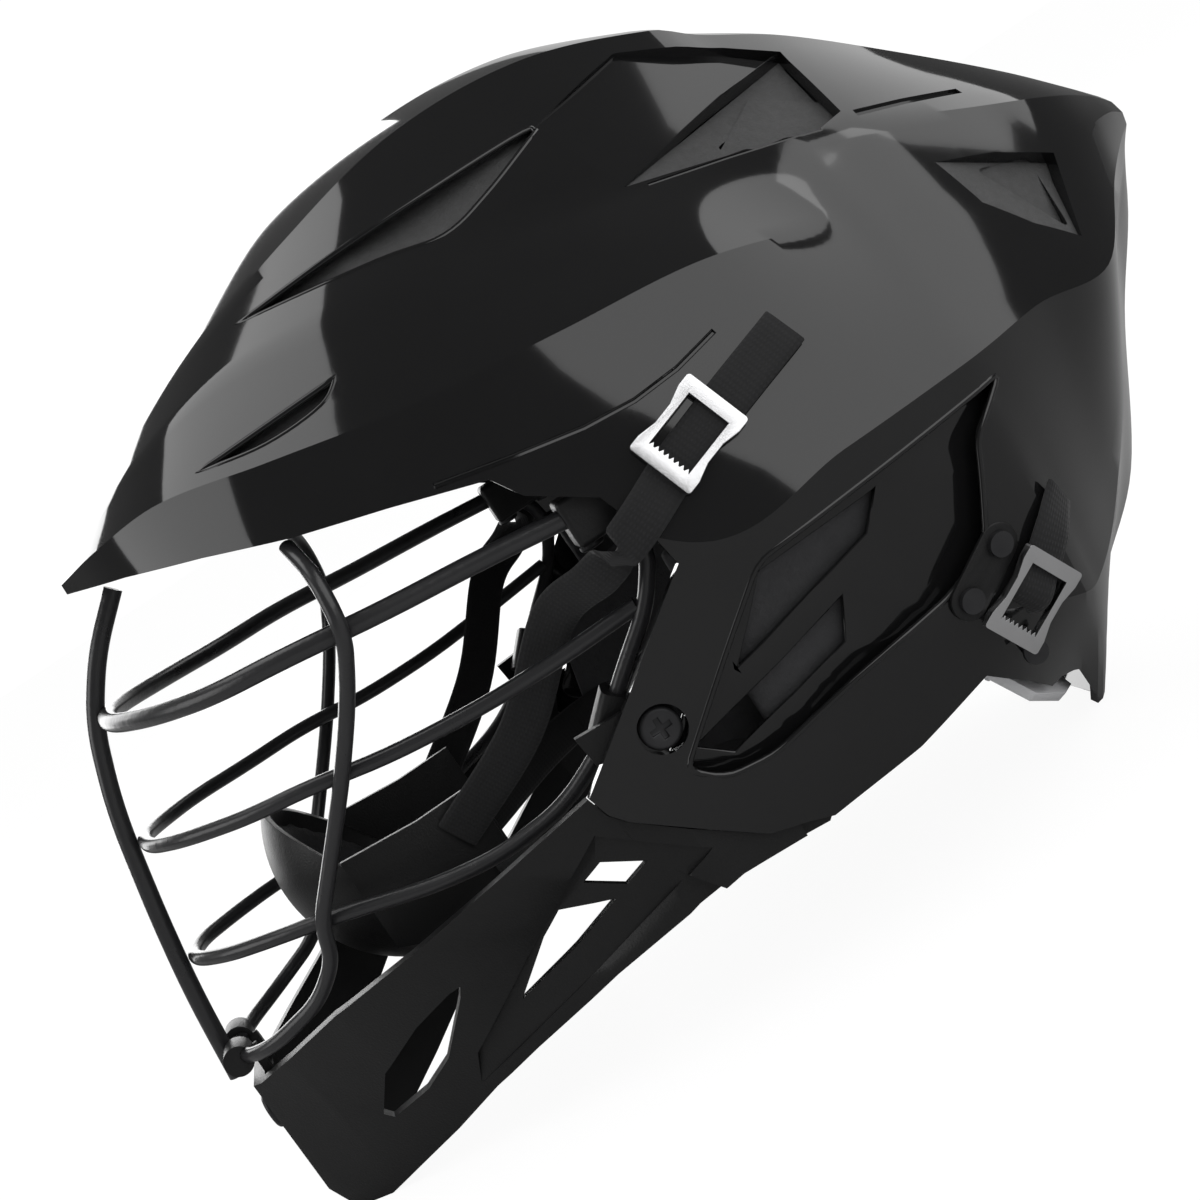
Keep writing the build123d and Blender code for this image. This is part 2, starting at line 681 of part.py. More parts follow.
front_planes = [laid(on_shell(*shares, webbing_seat, front_heading)) for shares in front_tail_shares]
front_planes += hung([front_planes[-1].origin] + [spot(shares) for shares in front_run_shares], front_lie)
save_pair(band_through(front_planes), "front_strap")
rear_planes = [
    laid(on_shell(*shares, webbing_seat + crease_gap, rear_heading)) for shares in rear_tail_shares
]
rear_planes += [laid(on_shell(y, z, -depth * shell_wall, rear_heading)) for y, z, depth in rear_run_shares]
rear_planes += hung([rear_planes[-1].origin] + [spot(shares) for shares in rear_free_shares], rear_lie)
save_pair(band_through(rear_planes), "rear_strap")

# Rear tabs: a round ended plate beside each rear buckle, on two rivets.
tab_plane = on_shell(*rear_buckle_shares, fit_gap, rear_heading)
tab_plane = on_shell(
    (tab_plane.origin.Y - tab_plane.y_dir.Y * tab_offset) / half_length,
    (tab_plane.origin.Z - tab_plane.y_dir.Z * tab_offset) / height,
    2 * fit_gap,
    rear_heading,
)
rivet_spread = tab_length - tab_width
with BuildPart() as rear_tab:
    with BuildSketch(tab_plane):
        SlotOverall(tab_length, tab_width)
        with GridLocations(rivet_spread, tab_width, 2, 1):
            Circle(small_hole_radius, mode=Mode.SUBTRACT)
    extrude(amount=tab_thickness)
save_pair(rear_tab.part, "rear_tab")
with BuildPart() as rear_rivets:
    tab_face = tab_plane.offset(tab_thickness).location
    with Locations([tab_face * Pos(side * rivet_spread / 2, 0, 0) for side in (-1, 1)]):
        Cylinder(small_head_diameter / 2, small_head_height, align=(Align.CENTER, Align.CENTER, Align.MIN))
        Cylinder(
            small_shank_diameter / 2,
            tab_thickness + fit_gap,
            align=(Align.CENTER, Align.CENTER, Align.MAX),
        )
save_pair(rear_rivets.part, "rear_rivets")

# Chin cup: a cap of a sphere with a tab on each side for the webbing, lined with a pad.
cup_centre_shares = (0, -0.545, 0.343)
cup_tab_seat_share = 0.875
cup_centre = spot(cup_centre_shares)
cup_heading = Vector(0, -0.85, -0.53).normalized()
cup_rim = Plane(cup_centre + cup_heading * (cup_radius - cup_depth), z_dir=cup_heading)
cup_tab_shares = [
    (-0.655, 0.364), (-0.655, 0.25), (-0.53, 0.207), (-0.435, 0.207), (-0.435, 0.355), (-0.53, 0.355),
]
cup_tab_seat = cup_radius * cup_tab_seat_share
with BuildPart() as chin_cup:
    with Locations(cup_centre):
        Sphere(cup_radius)
        Sphere(cup_radius - cup_wall, mode=Mode.SUBTRACT)
    split(bisect_by=cup_rim, keep=Keep.TOP)
    with BuildSketch(Plane.YZ.offset(cup_tab_seat)):
        with BuildLine():
            Polyline(side_view(cup_tab_shares), close=True)
        make_face()
    extrude(amount=cup_tab_thickness)
    with BuildSketch(Plane.YZ.offset(-cup_tab_seat)):
        with BuildLine():
            Polyline(side_view(cup_tab_shares), close=True)
        make_face()
    extrude(amount=-cup_tab_thickness)
save(chin_cup.part, "chin_cup")
with BuildPart() as cup_pad:
    with Locations(cup_centre):
        Sphere(cup_radius - cup_wall - fit_gap)
        Sphere(cup_radius - cup_wall - fit_gap - cup_pad_thickness, mode=Mode.SUBTRACT)
    split(bisect_by=cup_rim.offset(cup_wall), keep=Keep.TOP)
save(cup_pad.part, "cup_pad")

# Liner: foam pads under the shell and behind the window panels, cut apart by gaps.
pad_depth = shell_wall + pad_clearance
ear_depth = panel_depth + panel_thickness + pad_clearance / 2
pad_layer = dome(pad_depth, first=3, last=12) - dome(pad_depth + pad_thickness, first=3, last=12)
ear_layer = dome(ear_depth, first=4, last=9) - dome(ear_depth + pad_thickness / 2, first=4, last=9)
ear_pad_shares = ((0.41, 1), (-0.05, 0.34), (0.265, 0.485))
pad_box_shares = {
    "brow_pad": ((-0.62, 0.62), (-0.37, -0.15), (0.70, 1)),
    "crown_pad": ((-0.36, 0.36), (-0.12, 0.33), (0.70, 1)),
    "side_pad_left": ((0.41, 1), (0.0, 0.33), (0.51, 1)),
    "rear_pad": ((-0.80, 0.80), (0.36, 0.80), (0.42, 1)),
}


def box_between(shares):
    """Block between shares of the half width, the half length and the height."""
    (x0, x1), (y0, y1), (z0, z1) = shares
    size = spot((x1, y1, z1)) - spot((x0, y0, z0))
    return Pos(spot(((x0 + x1) / 2, (y0 + y1) / 2, (z0 + z1) / 2))) * Box(*size)


for name, shares in pad_box_shares.items():
    pad = pad_layer & box_between(shares)
    if name.endswith("_left"):
        save_pair(pad, name.removesuffix("_left"))
    else:
        save(pad, name)
save_pair(ear_layer & box_between(ear_pad_shares), "ear_pad")

# Nape cradle: a stiff band across the back of the neck. A slotted plate at each end
# slides on a rivet through the shell.
cradle_start_share = 0.65
plate_length_share = 1.25
cradle_end_width = cradle_seat + cradle_thickness / 2
cradle_end = Vector(cradle_end_width, rivet_y - cradle_height * cradle_start_share, rivet_z)
cradle_half = [cradle_end] + [spot(shares) for shares in cradle_run_shares]
cradle_route = cradle_half + [Vector(-point.X, point.Y, point.Z) for point in cradle_half[-2::-1]]
cradle_lie = (0, -0.35, 0.94)
plate_length = cradle_travel + cradle_height * plate_length_share
plate_middle = rivet_y + cradle_travel / 2 - cradle_height * (plate_length_share - 1) / 2
with BuildPart() as nape_cradle:
    for index, point in enumerate(cradle_route):
        behind = cradle_route[max(index - 1, 0)]
        ahead = cradle_route[min(index + 1, len(cradle_route) - 1)]
        with BuildSketch(Plane(point, x_dir=cradle_lie, z_dir=(ahead - behind).normalized())):
            Rectangle(cradle_height, cradle_thickness)
    loft(ruled=True)
    with Locations((cradle_end_width, plate_middle, rivet_z), (-cradle_end_width, plate_middle, rivet_z)):
        Box(cradle_thickness, plate_length, cradle_height)
    with BuildSketch(Plane.YZ):
        with Locations((rivet_y + cradle_travel / 2, rivet_z)):
            SlotCenterToCenter(cradle_travel, cradle_slot_width)
    extrude(amount=half_width, both=True, mode=Mode.SUBTRACT)
save(nape_cradle.part, "nape_cradle")
nape_rivet = Location((boss_face, rivet_y, rivet_z), (0, 90, 0)) * (
    Cylinder(small_head_diameter / 2, small_head_height, align=(Align.CENTER, Align.CENTER, Align.MIN))
    + pin(small_shank_diameter, boss_face - cradle_seat + fit_gap)
    + Pos(0, 0, cradle_seat - boss_face - fit_gap)
    * Cylinder(small_head_diameter / 2, small_head_height, align=(Align.CENTER, Align.CENTER, Align.MAX))
)
save_pair(nape_rivet, "nape_rivet")
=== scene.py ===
import json
from math import cos, pi, radians, sin

import bmesh
import bpy
from mathutils import Matrix, Vector
from mathutils.bvhtree import BVHTree


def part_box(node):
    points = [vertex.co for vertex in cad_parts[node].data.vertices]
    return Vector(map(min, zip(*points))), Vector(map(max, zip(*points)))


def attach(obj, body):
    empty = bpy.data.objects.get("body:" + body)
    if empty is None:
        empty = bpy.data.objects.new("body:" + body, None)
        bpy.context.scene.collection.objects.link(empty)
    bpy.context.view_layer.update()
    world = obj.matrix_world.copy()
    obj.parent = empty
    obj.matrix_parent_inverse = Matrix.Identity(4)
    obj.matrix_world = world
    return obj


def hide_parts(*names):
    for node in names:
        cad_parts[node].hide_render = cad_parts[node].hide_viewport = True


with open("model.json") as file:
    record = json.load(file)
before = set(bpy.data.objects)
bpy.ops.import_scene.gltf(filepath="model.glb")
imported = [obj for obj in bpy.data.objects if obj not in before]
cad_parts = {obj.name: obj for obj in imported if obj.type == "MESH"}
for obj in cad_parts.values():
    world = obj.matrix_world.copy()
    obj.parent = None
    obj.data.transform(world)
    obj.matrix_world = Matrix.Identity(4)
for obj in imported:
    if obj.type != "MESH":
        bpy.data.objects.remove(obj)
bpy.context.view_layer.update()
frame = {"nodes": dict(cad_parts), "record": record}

nodes = frame["nodes"]

# Camera: it stands where the photograph was taken from, with the helmet upright on the
# floor. The picture is rolled by about a third of a right angle.
camera_place = Vector((0.5882, -0.0724, 0.1895))
picture_right = Vector((0.15667, 0.82375, -0.54481))
picture_up = Vector((-0.07177, 0.55965, 0.82557))
sensor_mm, lens_mm = 36, 63
camera_data = bpy.data.cameras.new("camera")
camera_data.sensor_width, camera_data.lens = sensor_mm, lens_mm
camera_data.clip_start = 0.01
camera = bpy.data.objects.new("camera", camera_data)
picture_axes = Matrix((picture_right, picture_up, picture_right.cross(picture_up))).transposed()
camera.matrix_world = Matrix.Translation(camera_place) @ picture_axes.to_4x4()
bpy.context.collection.objects.link(camera)
bpy.context.scene.camera = camera
bpy.context.scene.view_settings.view_transform = "Standard"


# Room: a pale floor and world that show white behind the helmet, and soft lamps. Large
# ones lie where the gloss of the shell mirrors them.
class Signal:
    """A value on its way between two nodes; sums written on it become Math nodes."""

    def __init__(self, finish, socket):
        self.finish, self.socket = finish, socket

    def sum(self, operation, first, second):
        return self.finish.node("ShaderNodeMath", {"operation": operation}, {0: first, 1: second})

    def __add__(self, other):
        return self.sum("ADD", self, other)

    def __radd__(self, other):
        return self.sum("ADD", other, self)

    def __sub__(self, other):
        return self.sum("SUBTRACT", self, other)

    def __rsub__(self, other):
        return self.sum("SUBTRACT", other, self)

    def __mul__(self, other):
        return self.sum("MULTIPLY", self, other)

    def __rmul__(self, other):
        return self.sum("MULTIPLY", other, self)


class Finish:
    """A material while it is mixed, with one way to add any node."""

    def __init__(self, holder):
        holder.use_nodes = True
        self.tree = holder.node_tree
        self.tree.nodes.clear()

    def node(self, kind, settings=None, sockets=None, out=0):
        """Node of a kind, with its settings first, then its sockets' values or links."""
        made = self.tree.nodes.new(kind)
        for name, value in (settings or {}).items():
            setattr(made, name, value)
        for name, value in (sockets or {}).items():
            if isinstance(value, Signal):
                self.tree.links.new(value.socket, made.inputs[name])
            else:
                made.inputs[name].default_value = value
        return Signal(self, made.outputs[out]) if made.outputs else None

    def noise(self, scale, detail=4, roughness=0.5):
        """Smooth noise that is fixed to the piece, from 0 to 1."""
        place = self.node("ShaderNodeTexCoord", out="Object")
        sockets = {"Vector": place, "Scale": scale, "Detail": detail, "Roughness": roughness}
        return self.node("ShaderNodeTexNoise", {}, sockets)

    def bump(self, height, depth, strength=1.0):
        """Normal of a surface raised by a height from 0 to 1 times a depth in metres."""
        return self.node("ShaderNodeBump", {}, {"Height": height, "Distance": depth, "Strength": strength})

    def blend(self, share, first, second):
        """Colour between two colours."""
        sockets = {"Factor": share, 6: (*first, 1), 7: (*second, 1)}
        return self.node("ShaderNodeMix", {"data_type": "RGBA"}, sockets, out=2)


def moulded(name, build, sockets=None):
    """Material with one Principled surface; build gives the sockets that vary."""
    material = bpy.data.materials.new(name)
    finish = Finish(material)
    surface = finish.node("ShaderNodeBsdfPrincipled", {}, {**(sockets or {}), **build(finish)})
    finish.node("ShaderNodeOutputMaterial", {}, {"Surface": surface})
    return material


def lay(name, mesh, material, smooth_angle=35):
    """Object of one mesh, shaded smooth with its sharp edges kept."""
    thing = bpy.data.objects.new(name, mesh)
    bpy.context.collection.objects.link(thing)
    mesh.materials.clear()
    mesh.materials.append(material)
    mesh.shade_smooth()
    mesh.set_sharp_from_angle(angle=radians(smooth_angle))
    return thing


floor_reach = 6.0
floor_mesh = bpy.data.meshes.new("floor")
corners = [(-floor_reach, -floor_reach, 0), (floor_reach, -floor_reach, 0)]
corners += [(floor_reach, floor_reach, 0), (-floor_reach, floor_reach, 0)]
floor_mesh.from_pydata(corners, [], [(0, 1, 2, 3)])
floor_paint = bpy.data.materials.new("floor_paint")
paint = Finish(floor_paint)
seen = paint.node("ShaderNodeLightPath", out="Is Camera Ray")
in_gloss = paint.node("ShaderNodeLightPath", out="Is Glossy Ray")
pale = paint.blend(paint.noise(9.0), (0.84, 0.84, 0.84), (0.88, 0.88, 0.88))
matt = paint.node("ShaderNodeBsdfPrincipled", {}, {"Base Color": pale, "Roughness": 0.9})
dim = paint.node("ShaderNodeBsdfPrincipled", {}, {"Base Color": (0.17, 0.17, 0.17, 1), "Roughness": 0.9})
glow = paint.node("ShaderNodeEmission", {}, {"Color": (1, 1, 1, 1), "Strength": 1.03})
# the shell mirrors the dim floor, and the camera sees the glowing one with the shadow left in
ground = paint.node("ShaderNodeMixShader", {}, {0: in_gloss * 0.95, 1: matt, 2: dim})
bright = paint.node("ShaderNodeMixShader", {}, {0: seen * 0.9, 1: ground, 2: glow})
paint.node("ShaderNodeOutputMaterial", {}, {"Surface": bright})
floor = lay("floor", floor_mesh, floor_paint)

world = bpy.data.worlds.new("room")
bpy.context.scene.world = world
room = Finish(world)
air_seen = room.node("ShaderNodeLightPath", out="Is Camera Ray")
air_mirrored = room.node("ShaderNodeLightPath", out="Is Glossy Ray")
air_strength = 0.8 + air_seen * 0.25 - air_mirrored * 0.69
air = room.node("ShaderNodeBackground", {}, {"Color": (1, 1, 1, 1), "Strength": air_strength})
room.node("ShaderNodeOutputWorld", {}, {"Surface": air})

# name: place, what it faces, width, height, watts
lamps = {
    "side_box": ((0.98, 0.80, 0.86), (0.03, 0.05, 0.15), 1.8, 1.45, 12),
    "rear_box": ((-0.39, 1.09, 1.05), (0.0, 0.12, 0.16), 1.3, 0.7, 4),
    "brow_box": ((-0.20, -0.58, 1.60), (0.0, -0.05, 0.18), 1.2, 0.75, 5),
    "front_box": ((0.15, -1.50, 0.75), (0.0, -0.08, 0.16), 1.0, 0.9, 4.6),
    "far_box": ((-1.5, -0.55, 0.45), (0.0, 0.0, 0.15), 1.6, 1.1, 18),
    "crest_box": ((-1.45, 0.45, 0.40), (0.0, 0.1, 0.2), 0.7, 0.5, 0.5),
}
for name, (place, target, width, length, watts) in lamps.items():
    data = bpy.data.lights.new(name, "AREA")
    data.shape, data.size, data.size_y, data.energy = "RECTANGLE", width, length, watts
    lamp = bpy.data.objects.new(name, data)
    heading = Vector(target) - Vector(place)
    lamp.matrix_world = Matrix.Translation(place) @ heading.to_track_quat("-Z", "Y").to_matrix().to_4x4()
    bpy.context.collection.objects.link(lamp)


# Shell: one injection moulded skin in high gloss black. Its panels meet in crisp
# creases that run from the visor to the back, and its openings have rolled edges.
half_length, half_width, tall = 0.180, 0.108, 0.242
wall = 0.0032
crease_angle = 14
both_sides = (("left", 1), ("right", -1))
# station along the length, then the half section from the crest to the rim: four corners of
# the crown and three of the side, all in shares of the half length, half width and height
stations = [
    (-0.77, [(0, 0.785), (0.03, 0.785), (0.06, 0.783), (0.08, 0.78),
        (0.09, 0.77), (0.09, 0.75), (0.07, 0.735)]),
    (-0.69, [(0, 0.828), (0.09, 0.82), (0.19, 0.81), (0.30, 0.79),
        (0.33, 0.75), (0.34, 0.70), (0.33, 0.60)]),
    (-0.57, [(0, 0.885), (0.20, 0.865), (0.33, 0.845), (0.50, 0.795),
        (0.56, 0.725), (0.57, 0.655), (0.56, 0.45)]),
    (-0.415, [(0, 0.94), (0.26, 0.91), (0.43, 0.87), (0.68, 0.77),
        (0.74, 0.69), (0.78, 0.60), (0.80, 0.35)]),
    (-0.22, [(0, 0.991), (0.27, 0.955), (0.57, 0.855), (0.81, 0.74),
        (0.86, 0.65), (0.90, 0.415), (0.86, 0.10)]),
    (0, [(0, 1.018), (0.27, 0.989), (0.61, 0.835), (0.86, 0.72),
        (0.98, 0.475), (0.93, 0.31), (0.82, 0.08)]),
    (0.22, [(0, 1.007), (0.26, 0.981), (0.59, 0.80), (0.84, 0.70),
        (1, 0.475), (0.91, 0.265), (0.70, 0.08)]),
    (0.415, [(0, 0.953), (0.25, 0.931), (0.57, 0.76), (0.735, 0.655),
        (0.96, 0.475), (0.84, 0.20), (0.32, 0.045)]),
    (0.47, [(0, 0.926), (0.25, 0.90), (0.565, 0.745), (0.725, 0.64),
        (0.93, 0.475), (0.73, 0.19), (0.14, -0.02)]),
    (0.58, [(0, 0.873), (0.24, 0.85), (0.55, 0.715), (0.70, 0.605),
        (0.84, 0.475), (0.54, 0.22), (0.10, 0.095)]),
    (0.72, [(0, 0.78), (0.23, 0.765), (0.50, 0.67), (0.615, 0.575),
        (0.72, 0.46), (0.45, 0.335), (0.12, 0.20)]),
    (0.85, [(0, 0.695), (0.22, 0.68), (0.42, 0.63), (0.47, 0.58),
        (0.49, 0.52), (0.30, 0.45), (0.10, 0.36)]),
    (0.945, [(0, 0.63), (0.15, 0.62), (0.25, 0.60), (0.29, 0.575),
        (0.27, 0.54), (0.20, 0.51), (0.09, 0.46)]),
    (1, [(0, 0.593), (0.07, 0.59), (0.13, 0.577), (0.155, 0.561),
        (0.14, 0.546), (0.105, 0.536), (0.06, 0.53)]),
]


def spot(x, y, z):
    """Point from shares of the half width, the half length and the height."""
    return Vector((x * half_width, y * half_length, z * tall))


corner_lines = [
    [spot(section[corner][0], share, section[corner][1]) for share, section in stations]
    for corner in range(len(stations[0][1]))
]


def gliding(a, lead, b, trail, t):
    """Point at a share t of a run from a to b, which leaves along lead and ends along trail."""
    one, two = 2 * t**3 - 3 * t**2 + 1, t**3 - 2 * t**2 + t
    three, four = 3 * t**2 - 2 * t**3, t**3 - t**2
    return one * a + two * lead + three * b + four * trail


def eased(points, y):
    """Point at one y on a smooth line through points, which run along y."""
    last = len(points) - 2
    index = max(i for i in range(last + 1) if i == 0 or points[i].y <= y)
    a, b = points[index], points[index + 1]
    before = points[index - 1] if index else a - (b - a)
    after = points[index + 2] if index < last else b + (b - a)
    span = b.y - a.y
    lead = (b - before) * (span / (b.y - before.y))
    trail = (after - a) * (span / (after.y - a.y))
    return gliding(a, lead, b, trail, (y - a.y) / span)


def drawn_in(half, depth):
    """Half section moved inwards by a depth, square to each of its panels."""
    whole = half + [Vector((-p.x, p.y, p.z)) for p in half[:0:-1]]
    moved = []
    for i, here in enumerate(half):
        before = (here - whole[i - 1]).normalized()
        after = (whole[i + 1] - here).normalized()
        one, two = Vector((before.z, 0, -before.x)), Vector((after.z, 0, -after.x))
        moved.append(here + (one + two) * (depth / (1 + one.dot(two))))
    return moved


def half_section(y, depth=0.0, bulge=0.010, rows=7):
    """Points of the half section at one y, each panel a little rounded between creases."""
    corners = drawn_in([eased(line, y) for line in corner_lines], depth)
    points = []
    for high, low in zip(corners, corners[1:]):
        across = low - high
        outward = Vector((-across.z, 0, across.x))
        for step in range(rows):
            t = step / rows
            points.append(high + across * t + outward * (bulge * 4 * t * (1 - t)))
    return points + [corners[-1]]


def walled(body, near, far):
    """Make the faces between two rings of as many points."""
    for i in range(len(near)):
        j = (i + 1) % len(near)
        body.faces.new((near[i], near[j], far[j], far[i]))


def skin(depth=0.0, first=stations[0][0], columns=120):
    """Closed mesh of the shell's outer form, drawn in by a depth."""
    body = bmesh.new()
    last = stations[-1][0]
    rings = []
    for column in range(columns + 1):
        y = half_length * (first + (last - first) * column / columns)
        half = half_section(y, depth)
        ring = half + [Vector((-p.x, p.y, p.z)) for p in half[:0:-1]]
        rings.append([body.verts.new((p.x, p.y * (1 - depth / half_length), p.z)) for p in ring])
    for near, far in zip(rings, rings[1:]):
        walled(body, near, far)
    body.faces.new(rings[0][::-1])
    body.faces.new(rings[-1])
    return body


def flowing(points, corners=(), steps=6):
    """Closed outline that flows through points, but keeps its corners sharp."""
    outline = []
    count = len(points)
    for i in range(count):
        a, b = Vector(points[i]), Vector(points[(i + 1) % count])
        lead = (b - a) if i in corners else (b - Vector(points[i - 1])) / 2
        trail = (b - a) if (i + 1) % count in corners else (Vector(points[(i + 2) % count]) - a) / 2
        outline += [gliding(a, lead, b, trail, step / steps) for step in range(steps)]
    return outline


def softened(points, radius, steps=3):
    """Closed straight-sided outline with each corner rounded by a radius."""
    outline = []
    count = len(points)
    for i in range(count):
        here = Vector(points[i])
        before, after = Vector(points[i - 1]), Vector(points[(i + 1) % count])
        reach = min(radius, (before - here).length / 3, (after - here).length / 3)
        start = here + (before - here).normalized() * reach
        end = here + (after - here).normalized() * reach
        for step in range(steps + 1):
            t = step / steps
            outline.append(start.lerp(here, t).lerp(here.lerp(end, t), t))
    return outline


def side_view(shares):
    """Side view points in metres, as (y, z), from shares of the half length and height."""
    return [(y * half_length, z * tall) for y, z in shares]


def through(outlines, reach=0.14):
    """Mesh of prisms that take side view outlines right through the helmet."""
    body = bmesh.new()
    for outline in outlines:
        right, left = [[body.verts.new((x, y, z)) for y, z in outline] for x in (-reach, reach)]
        walled(body, right, left)
        body.faces.new(right[::-1])
        body.faces.new(left)
    return body


def mesh_of(body, name):
    """Blender mesh of a bmesh, with its faces turned outwards. The bmesh is used up."""
    bmesh.ops.recalc_face_normals(body, faces=body.faces)
    mesh = bpy.data.meshes.new(name)
    body.to_mesh(mesh)
    body.free()
    return mesh


def carved(target, cutter_mesh):
    """Cut a mesh out of a target."""
    cutter = bpy.data.objects.new("cutter", cutter_mesh)
    bpy.context.collection.objects.link(cutter)
    cut = target.modifiers.new("cut", "BOOLEAN")
    cut.object, cut.operation, cut.solver = cutter, "DIFFERENCE", "EXACT"
    applied(target)
    bpy.data.objects.remove(cutter)


def applied(target):
    """Make a target's modifiers part of its mesh."""
    bpy.context.view_layer.update()
    seen_by = bpy.context.evaluated_depsgraph_get()
    mesh = bpy.data.meshes.new_from_object(target.evaluated_get(seen_by))
    target.modifiers.clear()
    target.data = mesh


def face_of(mesh):
    """Search tree of a mesh, for finding its surface."""
    points = [vert.co.copy() for vert in mesh.vertices]
    return BVHTree.FromPolygons(points, [list(polygon.vertices) for polygon in mesh.polygons])


shell_face = face_of(mesh_of(skin(), "uncut"))
clear_of_helmet = 0.3


def seat(y, z, gap=0.0, face=shell_face):
    """Point a gap off the left side of a face at a place of the side view, and the normal there."""
    place, normal, _, _ = face.ray_cast(Vector((clear_of_helmet, y, z)), Vector((-1, 0, 0)))
    if normal.x < 0:
        normal = -normal
    return place + normal * gap, normal


def slab(rows, lift, extra=0.0, side=1, face=shell_face, grain=False):
    """Block from a lift above a face down to a depth below it; each row is y, z and depth."""
    body = bmesh.new()
    low, high = [], []
    for y, z, depth in rows:
        place, normal = seat(y * half_length, z * tall, 0.0, face)
        for ring, point in ((low, place - normal * (depth + extra)), (high, place + normal * lift)):
            ring.append(body.verts.new((point.x * side, point.y, point.z)))
    floor_face = body.faces.new(low)
    body.faces.new(high[::-1])
    walled(body, low, high)
    floor_face.material_index = int(grain)
    bmesh.ops.triangulate(body, faces=body.faces)
    return body


def pipe(points, radius, closed=False, sides=8):
    """Round bar along a row of points."""
    made = bmesh.new()
    count = len(points)
    turns = [2 * pi * k / sides for k in range(sides)]
    side = Vector((1, 0, 0))
    rings = []
    for i, here in enumerate(points):
        before = points[i - 1] if i or closed else here
        after = points[(i + 1) % count] if i < count - 1 or closed else here
        heading = (after - before).normalized()
        side = (side - heading * side.dot(heading)).normalized()
        lift = heading.cross(side)
        ring = [here + side * (radius * cos(t)) + lift * (radius * sin(t)) for t in turns]
        rings.append([made.verts.new(point) for point in ring])
    for near, far in zip(rings, rings[1:]):
        walled(made, near, far)
    if closed:
        walled(made, rings[-1], rings[0])
    else:
        made.faces.new(rings[0][::-1])
        made.faces.new(rings[-1])
    return made


def dense(outline, step=0.003, closed=True):
    """Outline with extra points, none further apart than a step."""
    points = []
    count = len(outline)
    for i in range(count if closed else count - 1):
        a, b = Vector(outline[i]), Vector(outline[(i + 1) % count])
        parts = max(1, int((b - a).length / step))
        points += [a.lerp(b, k / parts) for k in range(parts)]
    return points if closed else points + [Vector(outline[-1])]


# edges and openings in the side view, in shares of the half length and the height
visor_edge = [
    (-0.77, 0.768), (-0.67, 0.75), (-0.56, 0.725), (-0.445, 0.695), (-0.315, 0.668), (-0.185, 0.638),
]
temple_edge = [(-0.16, 0.607), (-0.08, 0.566), (-0.05, 0.50), (-0.043, 0.471)]
seam = [(-0.31, 0.318), (-0.30, 0.293), (-0.283, 0.277), (-0.133, 0.186), (-0.078, 0.172), (-0.044, 0.161)]
rim = [(0.11, 0.165), (0.245, 0.182), (0.31, 0.135), (0.377, 0.079), (0.43, 0.035), (0.455, 0)]
window = [
    (-0.183, 0.289), (0.044, 0.43), (0.47, 0.446), (0.39, 0.405), (0.37, 0.372),
    (0.328, 0.31), (0.25, 0.285), (0.067, 0.269), (-0.067, 0.252), (-0.139, 0.26),
]
upper_brow_vent = [
    (-0.34, 0.908), (-0.17, 0.913), (0.13, 0.913), (0.17, 0.905),
    (0.05, 0.876), (-0.035, 0.864), (-0.13, 0.88),
]
lower_brow_vent = [(-0.50, 0.80), (-0.27, 0.804), (-0.31, 0.788), (-0.40, 0.786)]
crown_vent = [(0.36, 0.785), (0.485, 0.785), (0.53, 0.744), (0.40, 0.76)]
rear_vent = [(0.65, 0.617), (0.745, 0.592), (0.712, 0.51)]
# lines cut along the surface, each with the radius of its groove
brow_line = [(-0.25, 0.662), (-0.147, 0.645), (-0.045, 0.630), (0.03, 0.625), (0.10, 0.628), (0.17, 0.638)]
crown_slot = [(0.56, 0.735), (0.64, 0.716), (0.73, 0.692)]
crown_line = [(0.24, 0.792), (0.36, 0.770), (0.50, 0.742)]
grooves = ((brow_line, 0.0008), (crown_slot, 0.0014), (crown_line, 0.0006))
# places pressed in, as y, z and depth; the crown's wall and the rear recess have a grained floor
crown_band = [
    (0.17, 0.908, 0.0002), (0.34, 0.931, 0.0012), (0.485, 0.872, 0.0026),
    (0.553, 0.834, 0.0034), (0.205, 0.804, 0.0001),
]
crown_wall = [
    (0.553, 0.834, 0.0034), (0.21, 0.803, 0.0004), (0.36, 0.772, 0.0040),
    (0.50, 0.742, 0.0050), (0.545, 0.745, 0.0050),
]
rear_recess = [
    (0.601, 0.647, 0), (0.692, 0.620, 0.004), (0.774, 0.583, 0.005),
    (0.714, 0.499, 0.001), (0.662, 0.539, 0), (0.616, 0.587, 0),
]
pressings = ((crown_band, False), (crown_wall, True), (rear_recess, True))
press_lift, pressed_wall, hollow_start = 0.02, 0.0028, -0.72
# the neck's opening from below, in shares of the half width and the half length
neck = [(0, 0.465), (0.25, 0.455), (0.45, 0.42), (0.52, 0.38), (0.60, 0.30)]
neck_low, neck_high = -0.02, 0.13 * tall


def gloss(finish):
    """Deep gloss with the slow ripple of a moulding."""
    ripple = finish.noise(24.0, 1)
    haze = finish.noise(700.0, 6)
    return {
        "Roughness": 0.05 + haze * 0.03,
        "Normal": finish.bump(ripple, 0.00015, 0.2),
        "Base Color": finish.blend(finish.noise(30.0), (0.004, 0.004, 0.0042), (0.006, 0.006, 0.0062)),
    }


def grainy(finish):
    """Coarse spark eroded grain."""
    grain = finish.noise(900.0, 5, 0.7)
    return {
        "Roughness": 0.62 + grain * 0.2,
        "Normal": finish.bump(grain, 0.0005, 0.9),
        "Base Color": finish.blend(finish.noise(500.0), (0.035, 0.035, 0.035), (0.060, 0.060, 0.061)),
    }


